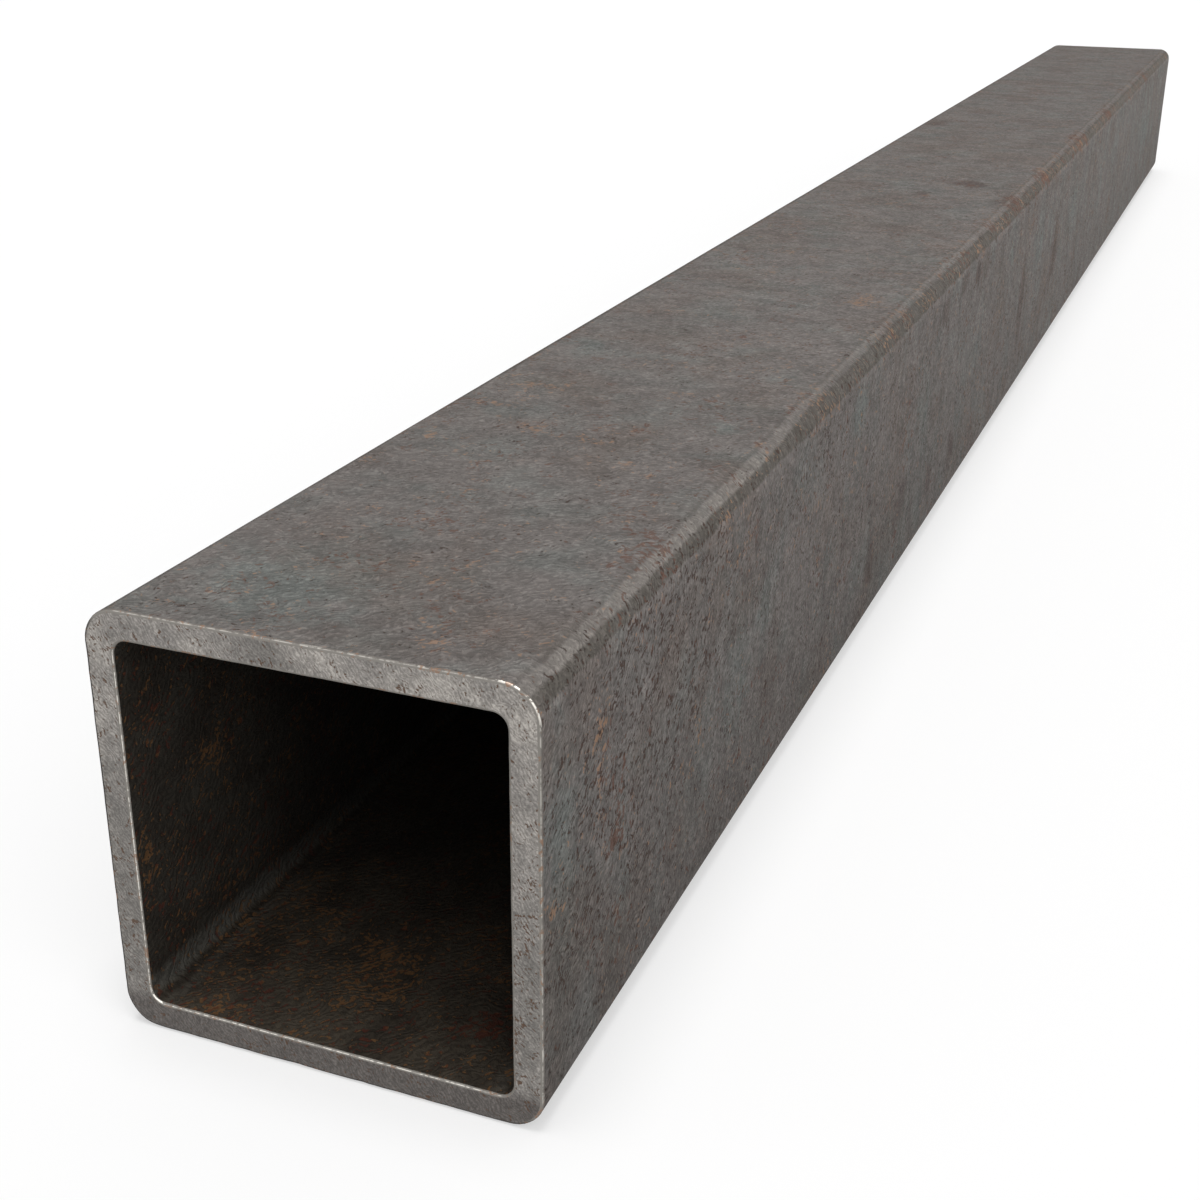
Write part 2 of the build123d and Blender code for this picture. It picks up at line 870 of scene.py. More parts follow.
    def make_corner(self) -> bpy.types.NodeTree:
        """Finds the rounded long corners of a square section.

        Turn runs from 0 at the level face to 1 at the upright face. Inside is a mask of the corners.

        Returns:
            The group.
        """
        sketch = GroupSketch(
            Effect.CORNER, ("Turn", "Inside"), Half_Width=37.5, Radius=6.0, Wander=0.1
        )
        half_width, radius, wander = sketch.given
        wander_size, wander_shift, softness = 9.0, 3.0, 0.4
        reach = sketch.minus(half_width, radius)
        side = sketch.size_of(sketch.times(sketch.axis("Object", "Y"), 1.0 / MM))
        height = sketch.times(sketch.axis("Object", "Z"), 1.0 / MM)
        rise = sketch.size_of(sketch.minus(height, self.sizes.width / MM / 2))
        outward = sketch.larger(sketch.minus(side, reach), 0.0)
        upward = sketch.larger(sketch.minus(rise, reach), 0.0)
        turn = sketch.math("DIVIDE", sketch.math("ARCTAN2", outward, upward), math.pi / 2)
        place = sketch.place(wander_size, 1.0, wander_shift)
        drift = sketch.noise(place, detail=3.0, roughness=0.6, distortion=0.5)
        return sketch.close(
            Turn=sketch.plus(turn, sketch.times(sketch.minus(drift, 0.5), wander)),
            Inside=sketch.times(
                sketch.spread(outward, 0.0, softness), sketch.spread(upward, 0.0, softness)
            ),
        )


# ---------------------------------------------------------------------------------------------
# Finishes
# ---------------------------------------------------------------------------------------------


class Face(Enum):
    """The faces that placed marks lie on. Their two axes are given with each."""

    TOP = "distance from the +X cut, y"
    SIDE = "distance from the +X cut, z, on the +Y side"
    CUT = "y, z, on the +X cut"
    BORE_FLOOR = "distance from the +X cut, y, on the bore's lower face"
    BORE_WALL = "distance from the +X cut, z, on the bore's -Y face"


@dataclass(frozen=True)
class Mark:
    """A soft patch in one place on a face, in millimetres.

    Attributes:
        face: the face that it lies on, with its two axes.
        first, second: its middle along them.
        first_reach, second_reach: half its size along them.
        strength: how strong it is in its middle.
        depth: how far it reaches off the face.
    """

    face: Face
    first: float
    second: float
    first_reach: float
    second_reach: float
    strength: float = 1.0
    depth: float = 9.0

    def placed(self, sizes: SectionSizes) -> tuple[Triple, Triple]:
        """Finds the mark in the tube's own frame.

        Args:
            sizes: the tube's sizes.

        Returns:
            Its middle and its half size, in metres.
        """
        end, width, wall = sizes.length / MM / 2, sizes.width / MM, sizes.wall / MM
        along = (self.first_reach, self.second_reach, self.depth)
        upright = (self.first_reach, self.depth, self.second_reach)
        crosswise = (self.depth, self.first_reach, self.second_reach)
        centre, reach = {
            Face.TOP: ((end - self.first, self.second, width), along),
            Face.SIDE: ((end - self.first, width / 2, self.second), upright),
            Face.CUT: ((end, self.first, self.second), crosswise),
            Face.BORE_FLOOR: ((end - self.first, self.second, wall), along),
            Face.BORE_WALL: ((end - self.first, wall - width / 2, self.second), upright),
        }[self.face]
        return tuple(part * MM for part in centre), tuple(part * MM for part in reach)


@dataclass(frozen=True)
class Clouds:
    """Soft mottling.

    Attributes:
        size: size of a cloud, in millimetres.
        shift: moves the pattern.
        level: where the middle of a cloud's edge lies in the noise. A higher one leaves fewer clouds.
        edge: half the softness of the edge.
        stretch: how many times longer a cloud is along X, Y and Z.
    """

    size: float
    shift: float
    level: float = 0.5
    edge: float = 0.2
    stretch: Triple = (1.0, 1.0, 1.0)


@dataclass(frozen=True)
class Grain:
    """Wavy grain of the surface.

    Attributes:
        pitch: distance from crest to crest, in millimetres.
        across: direction from crest to crest.
        shift: moves the pattern.
        waver, sway: how much the crests bend, over a short and over a long way, in pitches.
        lumps: how far they crumble.
    """

    pitch: float
    across: Triple
    shift: float
    waver: float
    sway: float
    lumps: float = 0.5


@dataclass(frozen=True)
class Flecks:
    """Small flecks that gather in groups.

    Attributes:
        size: size of a fleck, in millimetres.
        shift: moves the pattern.
        group_size: size of a group, in millimetres.
        gather: how closely they keep to their groups.
        follow: how strictly they keep to the hollows of the grain, or below 0 to its crests.
    """

    size: float
    shift: float
    group_size: float
    gather: float = 0.5
    follow: float = 0.0


class FinishSketch(Sketch):
    """Draws one finish, with the shared effects at hand.

    Attributes:
        material: the finish's material.
        shader: the material's Principled node.
    """

    def __init__(
        self, name: str, sizes: SectionSizes, effects: dict[Effect, bpy.types.NodeTree]
    ) -> None:
        """Starts the material.

        Args:
            name: the material's name.
            sizes: the tube's sizes.
            effects: the shared groups.
        """
        self.material = bpy.data.materials.new(name)
        self.material.use_nodes = True
        super().__init__(self.material.node_tree)
        self.shader = self.tree.nodes["Principled BSDF"]
        self.sizes = sizes
        self.effects = effects

    def effect(
        self, kind: Effect, settings: Clouds | Grain | Flecks | None = None, **more: Any
    ) -> bpy.types.NodeOutputs:
        """Places a shared effect.

        Args:
            kind: the effect.
            settings: its settings, in fields named like its inputs.
            more: other inputs by name, with _ for a space.

        Returns:
            The effect's outputs.
        """
        given = {name.title(): value for name, value in vars(settings).items()} if settings else {}
        return self.group(self.effects[kind], **given, **more).outputs

    def clouds(self, clouds: Clouds) -> Socket:
        """The mask of soft mottling."""
        return self.effect(Effect.CLOUDS, clouds)["Mask"]

    def crests(self, grain: Grain) -> tuple[Socket, Socket]:
        """The height of the grain, and the mask of its crests."""
        made = self.effect(Effect.GRAIN, grain)
        return made["Height"], made["Crest"]

    def flecks(self, flecks: Flecks, amount: Value, height: Value = 0.5) -> Socket:
        """The mask of an amount of flecks on a grain of some height."""
        return self.effect(Effect.FLECKS, flecks, Amount=amount, Height=height)["Mask"]

    def corners(self, width: float, radius: float, wander: float) -> tuple[Socket, Socket]:
        """Finds the long corners of a square section.

        Args:
            width: size across the section's flats, in metres.
            radius: how far a corner reaches, in metres.
            wander: how much the turn wavers along them.

        Returns:
            The turn from the level to the upright face, and the mask of the corners.
        """
        half_width = width / MM / 2
        made = self.effect(Effect.CORNER, Half_Width=half_width, Radius=radius / MM, Wander=wander)
        return made["Turn"], made["Inside"]

    def marks(self, marks: tuple[Mark, ...], shift: float) -> Socket:
        """Joins several placed marks in one mask with ragged edges.

        Args:
            marks: the marks.
            shift: moves the pattern of the edges.

        Returns:
            The mask, 1 in the middle of a strong mark.
        """
        ragged_size, raggedness = 5.0, 1.2
        edge, rim = (0.1, 0.7), (0.0, 0.12)
        total: Value = 0.0
        for mark in marks:
            centre, reach = mark.placed(self.sizes)
            spot = self.effect(Effect.MARK, Centre=centre, Reach=reach, Strength=mark.strength)
            total = self.larger(total, spot["Mask"])
        place = self.place(ragged_size, 1.0, shift)
        drift = self.noise(place, detail=3.0, roughness=0.6, distortion=0.6)
        ragged = self.grown(self.minus(drift, 0.5), raggedness, total)
        return self.times(self.spread(ragged, *edge), self.spread(total, *rim))

    def from_cut(self, none_at: float, full_at: float) -> Socket:
        """Mask that goes from 0 to 1 between two distances from the +X cut, in metres."""
        end = self.sizes.length / 2
        return self.spread(self.axis("Object", "X"), end - none_at, end - full_at)

    def by_height(self, none_at: float, full_at: float, unit: float) -> Socket:
        """Mask that goes from 0 to 1 between two heights above the ground, counted in a unit."""
        return self.spread(self.axis("Object", "Z"), unit * none_at, unit * full_at)

    def bump(self, height: Socket, relief: float) -> None:
        """Raises the surface.

        Args:
            height: the height, from 0 to 1.
            relief: how far 1 stands above 0, in metres.
        """
        made = self.fill(self.node("ShaderNodeBump"), Strength=1.0, Distance=relief, Height=height)
        self.feed(self.shader.inputs["Normal"], made.outputs["Normal"])


@dataclass(frozen=True)
class Rust:
    """One colour of rust, in flecks that are denser where it is marked.

    Attributes:
        colour: its colour.
        flecks: its pattern.
        amount: how much there is everywhere.
        marked_gain: how much more there is in the middle of a mark.
        rubbed_gain: how much more there is where the surface is rubbed.
        marks: where there is more of it.
    """

    colour: Colour
    flecks: Flecks
    amount: float
    marked_gain: float
    rubbed_gain: float = 0.0
    marks: tuple[Mark, ...] = ()

    def lay(
        self,
        sketch: FinishSketch,
        under: Socket,
        grain: Socket,
        share: Value,
        rubbed: Socket | None = None,
    ) -> Socket:
        """Lays the rust over a colour.

        Args:
            sketch: where it is drawn.
            under: the colour under it.
            grain: the height of the grain.
            share: how much of it shows.
            rubbed: mask of where the surface is rubbed, if it is anywhere.

        Returns:
            The colour with the rust.
        """
        amount: Value = self.amount
        if rubbed is not None:
            amount = sketch.grown(rubbed, self.rubbed_gain, amount)
        marked = sketch.marks(self.marks, self.flecks.shift)
        mask = sketch.flecks(self.flecks, sketch.grown(marked, self.marked_gain, amount), grain)
        return sketch.cover(under, self.colour, mask, share)


@dataclass(frozen=True)
class Finish:
    """A finish of the tube, made as one material.

    In all finishes, a tone is a factor on the colour, given for both ends of its mask or for the
    full mask only. A share says how much of a colour shows where its mask is full, and a window is
    where a mask rises and where it falls again.

    Attributes:
        name: the material's name.
        specular: strength of the plain reflection.
    """

    name: str
    specular: float

    def make(self, shelf: EffectShelf) -> bpy.types.Material:
        """Makes the material.

        Args:
            shelf: the shared effects.

        Returns:
            The material.
        """
        sketch = shelf.open(self.name)
        sketch.fill(sketch.shader, Specular_IOR_Level=self.specular)
        self.draw(sketch)
        log.info("finish %s: %d nodes", self.name, len(sketch.tree.nodes))
        return sketch.material

    def draw(self, sketch: FinishSketch) -> None:
        """Draws what is particular to the finish. Each finish has its own."""
        raise NotImplementedError


@dataclass(frozen=True)
class CornerSheenAndShade:
    """Long corners of the skin: painted highlight towards the top, where the scale is also rubbed
    bright, painted shade towards the side and on the -Y corners.

    The bands are placed by their turn round the corner, from 0 at the level face to 1 at the upright
    one.

    Attributes:
        reach, full_reach: length of the stretch by the +X cut where the bands differ, and the share
            of it over which they do so wholly.
        drop: how much further round they lie there.
        wander: how much they waver.
        streaks: what breaks them up.
        bright_window, wide_window: the bright band, and how far it widens by the cut.
        bright_fade, bright_share: distances from the cut between which its narrow part fades, and
            how strong it is at both.
        bright_streak, dull_streak: how much of a band is left between the streaks and on them.
        rim_window, rim_share: the thin line of painted shade above the painted highlight.
        dull_starts, dull_ends: where the band of painted shade starts and ends, away from
            the cut and by it.
        dull_softness: how softly it starts and ends.
        stain_rise, stain_fall, stain_share: the painted shade on the -Y corners.
        stain_side: distance from the middle plane at which the -Y side begins.
    """

    bright: Colour = paint(128, 123, 118)
    dull: Colour = paint(87, 83, 78)
    stain: Colour = paint(60, 56, 52)
    reach: float = 150.0 * MM
    full_reach: float = 0.7
    drop: float = 0.075
    wander: float = 0.14
    streaks: Clouds = Clouds(size=2.2, shift=71.0, edge=0.12, stretch=(1.0, 4.0, 4.0))
    bright_window: Window = ((0.18, 0.23), (0.33, 0.27))
    wide_window: Window = ((0.18, 0.23), (0.5, 0.42))
    bright_fade: Range = (0.25, 0.5)
    bright_share: Range = (0.65, 0.45)
    bright_streak: Range = (0.4, 1.0)
    rim_window: Window = ((0.06, 0.13), (0.19, 0.16))
    rim_share: float = 0.3
    dull_starts: Range = (0.36, 0.41)
    dull_ends: Range = (0.79, 0.67)
    dull_softness: Range = (0.09, 0.08)
    dull_streak: Range = (1.0, 0.7)
    stain_rise: Range = (0.08, 0.26)
    stain_fall: Range = (0.7, 0.5)
    stain_share: float = 0.75
    stain_side: float = 5.0 * MM

    def lay(self, sketch: FinishSketch, under: Socket, turn: Socket, inside: Socket) -> Socket:
        """Lays the bands over a colour.

        Args:
            sketch: where they are drawn.
            under: the colour under them.
            turn: the turn round the corner.
            inside: mask of the corners.

        Returns:
            The colour with the bands.
        """
        by_cut = sketch.from_cut(self.reach, self.reach * self.full_reach)
        turn = sketch.minus(turn, sketch.times(by_cut, self.drop))
        streaks = sketch.clouds(self.streaks)
        away = sketch.spread(sketch.axis("Object", "Y"), 0.0, -self.stain_side)
        # Painted highlight on the upper part of the corners, where the scale is also rubbed bright;
        # none on the -Y side.
        bright = self.bright_mask(sketch, turn, by_cut)
        bright = sketch.times(bright, sketch.between(streaks, *self.bright_streak))
        bright = sketch.times(bright, sketch.minus(1.0, away))
        # Painted shade on the lower part of the corners, with a thin line of it above the highlight.
        dull = sketch.times(
            self.dull_mask(sketch, turn, by_cut), sketch.between(streaks, *self.dull_streak)
        )
        rim = sketch.times(sketch.window(turn, *self.rim_window), self.rim_share)
        dull = sketch.larger(dull, rim)
        # Painted shade on the corners of the -Y side.
        stain = sketch.times(sketch.spread(turn, *self.stain_rise, 0.0, self.stain_share), away)
        stain = sketch.times(stain, sketch.spread(turn, *self.stain_fall))
        colour = sketch.cover(under, self.bright, bright, inside)
        colour = sketch.cover(colour, self.dull, dull, inside)
        return sketch.cover(colour, self.stain, stain, inside)

    def bright_mask(self, sketch: FinishSketch, turn: Socket, by_cut: Socket) -> Socket:
        """Draws the band of painted highlight, which is wider by the +X cut.

        Args:
            sketch: where it is drawn.
            turn: the turn round the corner.
            by_cut: mask of the stretch by the cut.

        Returns:
            The band's mask.
        """
        narrow = sketch.window(turn, *self.bright_window)
        fade = sketch.between(sketch.from_cut(*self.bright_fade), *self.bright_share)
        narrow = sketch.times(narrow, fade)
        return sketch.larger(narrow, sketch.times(sketch.window(turn, *self.wide_window), by_cut))

    def dull_mask(self, sketch: FinishSketch, turn: Socket, by_cut: Socket) -> Socket:
        """Draws the band of painted shade, which is narrower by the +X cut.

        Args:
            sketch: where it is drawn.
            turn: the turn round the corner.
            by_cut: mask of the stretch by the cut.

        Returns:
            The band's mask.
        """
        starts = sketch.between(by_cut, *self.dull_starts)
        ends = sketch.between(by_cut, *self.dull_ends)
        start_softness, end_softness = self.dull_softness
        rise = sketch.spread(turn, starts, sketch.plus(starts, start_softness))
        return sketch.times(rise, sketch.spread(turn, sketch.plus(ends, end_softness), ends))


@dataclass(frozen=True)
class MillScale(Finish):
    """Hot-rolled scale of the skin: warm grey with cooler patches, dark red pits and orange streaks.

    Attributes:
        relief: height of the grain.
        roughness: in the hollows of the grain and on its crests.
        hollow_tone: for level and for upright faces.
        cool_fade, cool_far_share: distances from the +X cut between which the sides get cooler, and
            by how much.
        pit_amount: how many pits level and upright faces have.
        pit_depth: as a share of the relief.
        rust_share: for level and for upright faces.
        rubbed_fade: distances from the cut between which the rubbed corners get rustier.
        foot_fade, foot_tone: distances from the cut between which the painted shade at the foot of the
            tube gets lighter, and its tone at both.
        foot_height: share of the width over which the painted shade fades upwards.
        level_fade, level_tone, side_fade, side_tone: the same for the painted light and shade on level
        and
            on upright faces.
    """

    name: str = "mill_scale"
    specular: float = 0.07
    relief: float = 0.28 * MM
    grain: Grain = Grain(
        pitch=1.2, across=(0.75, 0.6, 0.75), shift=11.0, waver=3.4, sway=7.0, lumps=0.56
    )
    roughness: Range = (0.88, 0.74)
    hollow_tone: Range = (0.78, 0.7)
    corner_hollow_tone: float = 0.86
    crest_tone: float = 1.15

    warm: Colour = paint(112, 107, 104)
    cool: Colour = paint(110, 112, 109)
    cool_clouds: Clouds = Clouds(size=13.0, shift=2.0, level=0.58, edge=0.14, stretch=(1.0, 1.2, 1.2))
    cool_share: float = 0.6
    cool_fade: Range = (0.1, 0.9)
    cool_far_share: float = 0.2
    brown: Colour = paint(103, 93, 87)
    brown_clouds: Clouds = Clouds(
        size=24.0, shift=31.0, level=0.58, edge=0.12, stretch=(1.0, 1.2, 1.2)
    )
    brown_share: float = 0.5
    bands: Clouds = Clouds(size=8.0, shift=83.0, edge=0.18, stretch=(1.0, 2.6, 2.6))
    band_tone: Range = (0.94, 1.06)
    mottle: Clouds = Clouds(size=4.0, shift=7.0, edge=0.24, stretch=(1.0, 1.2, 1.2))
    mottle_tone: Range = (0.9, 1.1)
    pale_tone: float = 1.09

    pit: Colour = paint(72, 55, 48)
    pit_flecks: Flecks = Flecks(size=1.9, shift=5.0, group_size=9.0, gather=0.3, follow=0.4)
    pit_amount: Range = (0.01, 0.09)
    pit_marked_gain: float = 0.09
    pit_share: float = 0.8
    pit_depth: float = 0.6
    stain_share: float = 0.4
    rust_share: Range = (0.6, 0.75)
    rubbed_fade: Range = (50.0 * MM, 150.0 * MM)
    corners: CornerSheenAndShade = CornerSheenAndShade()

    foot_fade: Range = (0.0, 0.6)
    foot_tone: Range = (0.71, 0.86)
    foot_height: float = 0.85
    level_fade: Range = (0.2, 0.9)
    level_tone: Range = (1.0, 0.94)
    side_fade: Range = (-0.3, 1.0)
    side_tone: Range = (1.1, 1.38)

    cool_marks: tuple[Mark, ...] = (
        Mark(Face.TOP, 20, -12, 30, 26, 0.8),
        Mark(Face.TOP, 121, 25, 10, 8, 0.6),
        Mark(Face.TOP, 171, -24, 18, 11, 0.6),
        Mark(Face.SIDE, 7, 40, 9, 46, 0.8),
        Mark(Face.SIDE, 94, 36, 15, 30, 0.5),
        Mark(Face.SIDE, 109, 44, 14, 14, 0.5),
        Mark(Face.SIDE, 184, 62, 12, 11, 0.9),
        Mark(Face.SIDE, 260, 42, 16, 24, 0.6),
        Mark(Face.SIDE, 340, 40, 18, 18, 0.55),
        Mark(Face.SIDE, 398, 60, 16, 15, 0.55),
        Mark(Face.SIDE, 466, 50, 24, 20, 0.6),
        Mark(Face.SIDE, 563, 46, 26, 24, 0.6),
        Mark(Face.SIDE, 885, 40, 60, 36, 0.6),
        Mark(Face.TOP, 345, -10, 24, 14, 0.5),
    )
    pale_marks: tuple[Mark, ...] = (
        Mark(Face.TOP, 178, 8, 48, 32),
        Mark(Face.TOP, 225, -10, 40, 26, 0.6),
        Mark(Face.SIDE, 232, 62, 60, 14, 0.6),
        Mark(Face.SIDE, 330, 50, 60, 26, 0.5),
    )
    pitted_marks: tuple[Mark, ...] = (
        Mark(Face.SIDE, 45, 56, 62, 34),
        Mark(Face.SIDE, 20, 30, 55, 34, 0.7),
        Mark(Face.SIDE, 122, 60, 14, 14, 0.6),
        Mark(Face.SIDE, 156, 62, 22, 14, 0.6),
        Mark(Face.TOP, 6, -30, 14, 12, 0.6),
    )
    stain_marks: tuple[Mark, ...] = (
        Mark(Face.SIDE, 204, 19, 8, 9),
        Mark(Face.SIDE, 237, 22, 13, 10, 0.9),
        Mark(Face.SIDE, 276, 18, 8, 9),
        Mark(Face.SIDE, 308, 17, 8, 10, 0.9),
        Mark(Face.SIDE, 282, 64, 9, 6, 0.9),
        Mark(Face.SIDE, 308, 66, 8, 5, 0.9),
        Mark(Face.SIDE, 333, 65, 9, 6, 0.8),
        Mark(Face.SIDE, 430, 38, 12, 28, 0.7),
        Mark(Face.SIDE, 512, 40, 14, 30, 0.6),
        Mark(Face.TOP, 404, 33, 14, 6, 1.1),
        Mark(Face.TOP, 433, 16, 12, 10),
        Mark(Face.TOP, 406, 4, 11, 5, 0.8),
        Mark(Face.TOP, 590, -28, 22, 9, 0.7),
    )
    red: Rust = Rust(
        colour=paint(104, 76, 65),
        flecks=Flecks(size=2.4, shift=17.0, group_size=15.0, follow=0.25),
        amount=0.1,
        marked_gain=0.14,
        rubbed_gain=0.06,
        marks=(
            Mark(Face.TOP, 2, -7, 4, 4),
            Mark(Face.TOP, 31, -11, 8, 6, 0.7),
            Mark(Face.TOP, 56, -5, 18, 10, 0.5),
            Mark(Face.TOP, 120, 0, 4, 9),
            Mark(Face.TOP, 115, 8.5, 5, 4, 0.9),
            Mark(Face.TOP, 54, 32, 16, 6),
            Mark(Face.TOP, 161, -19, 4, 6, 0.8),
            Mark(Face.TOP, 140, 16, 4, 4, 0.8),
            Mark(Face.TOP, 193, 8, 5, 7, 0.8),
            Mark(Face.SIDE, 29, 34, 5, 6),
            Mark(Face.SIDE, 55, 61, 6, 6),
            Mark(Face.SIDE, 54, 19, 7, 5, 0.9),
            Mark(Face.SIDE, 81, 19, 6, 5, 0.8),
            Mark(Face.SIDE, 86, 49, 4, 5, 0.9),
            Mark(Face.SIDE, 152, 52, 22, 20, 0.6),
            Mark(Face.SIDE, 171, 56, 4, 17),
            Mark(Face.SIDE, 180, 24, 14, 12, 0.6),
            Mark(Face.TOP, 220, 33, 6, 5),
            Mark(Face.TOP, 314, 35, 11, 6, 0.9),
            Mark(Face.TOP, 363, 33, 10, 7),
            Mark(Face.TOP, 406, 34, 15, 7, 1.2),
            Mark(Face.TOP, 433, 16, 12, 10, 1.1),
            Mark(Face.TOP, 406, 3, 12, 5, 0.8),
            Mark(Face.TOP, 470, 35, 20, 8, 1.1),
            Mark(Face.TOP, 574, 36, 22, 8),
            Mark(Face.TOP, 680, 36, 26, 8, 0.9),
            Mark(Face.TOP, 726, 0, 22, 40, 0.6),
            Mark(Face.TOP, 858, 35, 34, 9, 0.9),
        ),
    )
    orange: Rust = Rust(
        colour=paint(148, 116, 92),
        flecks=Flecks(size=2.2, shift=23.0, group_size=15.0, follow=-0.35),
        amount=0.05,
        marked_gain=0.17,
        rubbed_gain=0.06,
        marks=(
            Mark(Face.TOP, 107, -11, 7, 6),
            Mark(Face.TOP, 104, 0, 4, 9, 0.7),
            Mark(Face.TOP, 95, -28, 4, 8, 0.7),
            Mark(Face.TOP, 119, -25, 4, 9, 0.8),
            Mark(Face.TOP, 78, -31, 9, 5, 0.6),
            Mark(Face.TOP, 83, 3, 5, 5, 0.5),
            Mark(Face.TOP, 64, 22, 7, 4, 0.6),
            Mark(Face.TOP, 7, 19, 5, 7, 0.6),
            Mark(Face.SIDE, 23, 56, 4, 17),
            Mark(Face.SIDE, 84, 71, 7, 6),
            Mark(Face.SIDE, 134, 60, 8, 5, 0.6),
            Mark(Face.SIDE, 171, 55, 4, 10, 0.5),
            Mark(Face.TOP, 240, 24, 13, 8),
            Mark(Face.TOP, 262, -8, 12, 4, 0.7),
            Mark(Face.TOP, 292, -13, 5, 10, 0.8),
            Mark(Face.TOP, 309, -25, 5, 5, 0.9),
            Mark(Face.TOP, 386, 1, 14, 8, 0.9),
            Mark(Face.TOP, 430, -12, 7, 6, 0.8),
            Mark(Face.TOP, 333, 36, 8, 6, 0.6),
            Mark(Face.TOP, 482, 36, 16, 7, 0.6),
        ),
    )

    def draw(self, sketch: FinishSketch) -> None:
        """Draws the scale with its grain, painted highlight and shade on the corners, rust, pits, and
        painted shade and light.

        Args:
            sketch: where it is drawn.
        """
        upright = sketch.upright()
        grain, crest = sketch.crests(self.grain)
        turn, inside = sketch.corners(
            sketch.sizes.width, sketch.sizes.outer_radius, self.corners.wander
        )
        # Painted highlight and shade on the long corners.
        colour = self.corners.lay(sketch, self.ground(sketch, upright), turn, inside)
        hollows = sketch.between(upright, *self.hollow_tone)
        hollows = sketch.larger(hollows, sketch.times(inside, self.corner_hollow_tone))
        colour = sketch.vary(colour, grain, hollows, self.crest_tone)
        colour = sketch.vary(colour, crest, 1.0, self.crest_tone)
        share = sketch.between(upright, *self.rust_share)
        rubbed = sketch.from_cut(*self.rubbed_fade)
        for rust in (self.red, self.orange):
            colour = rust.lay(sketch, colour, grain, share, sketch.times(inside, rubbed))
        broken = sketch.marks(self.pitted_marks, shift=67.0)
        amount = sketch.between(upright, *self.pit_amount)
        amount = sketch.grown(broken, self.pit_marked_gain, amount)
        pits = sketch.flecks(self.pit_flecks, amount, grain)
        colour = sketch.cover(colour, self.pit, pits, self.pit_share)
        # Painted shade towards the ground, and painted light on the upright faces.
        colour = sketch.tint(colour, self.grime(sketch, upright))
        roughness = sketch.between(grain, *self.roughness)
        sketch.fill(sketch.shader, Base_Color=colour, Roughness=roughness)
        sketch.bump(sketch.minus(grain, sketch.times(pits, self.pit_depth)), self.relief)

    def ground(self, sketch: FinishSketch, upright: Socket) -> Socket:
        """Draws the scale's own colour, warm with cool, brown, pale and stained patches.

        Args:
            sketch: where it is drawn.
            upright: mask of the upright faces, which are cooler towards the far end.

        Returns:
            The colour.
        """
        cooler = sketch.larger(
            sketch.times(sketch.clouds(self.cool_clouds), self.cool_share),
            sketch.marks(self.cool_marks, shift=61.0),
        )
        far_side = sketch.times(sketch.from_cut(*self.cool_fade), upright)
        cooler = sketch.grown(far_side, self.cool_far_share, cooler)
        colour = sketch.blend(cooler, self.warm, self.cool)
        brown = sketch.clouds(self.brown_clouds)
        colour = sketch.cover(colour, self.brown, brown, self.brown_share)
        colour = sketch.vary(colour, sketch.clouds(self.bands), *self.band_tone)
        pale = sketch.marks(self.pale_marks, shift=89.0)
        colour = sketch.vary(colour, pale, 1.0, self.pale_tone)
        stained = sketch.marks(self.stain_marks, shift=97.0)
        colour = sketch.cover(colour, self.pit, stained, self.stain_share)
        return sketch.vary(colour, sketch.clouds(self.mottle), *self.mottle_tone)

    def grime(self, sketch: FinishSketch, upright: Socket) -> Socket:
        """Paints shade on the skin towards the ground it lies on, most by the +X cut, and on the sides
        there, and paints the upright faces lighter than the level ones.

        Args:
            sketch: where it is drawn.
            upright: mask of the upright faces.

        Returns:
            The tone.
        """
        foot = sketch.between(sketch.from_cut(*self.foot_fade), *self.foot_tone)
        height = sketch.axis("Object", "Z")
        low = sketch.spread(height, 0.0, sketch.sizes.width * self.foot_height, foot, 1.0)
        sides = sketch.between(sketch.from_cut(*self.side_fade), *self.side_tone)
        levels = sketch.between(sketch.from_cut(*self.level_fade), *self.level_tone)
        return sketch.times(low, sketch.between(upright, levels, sides))


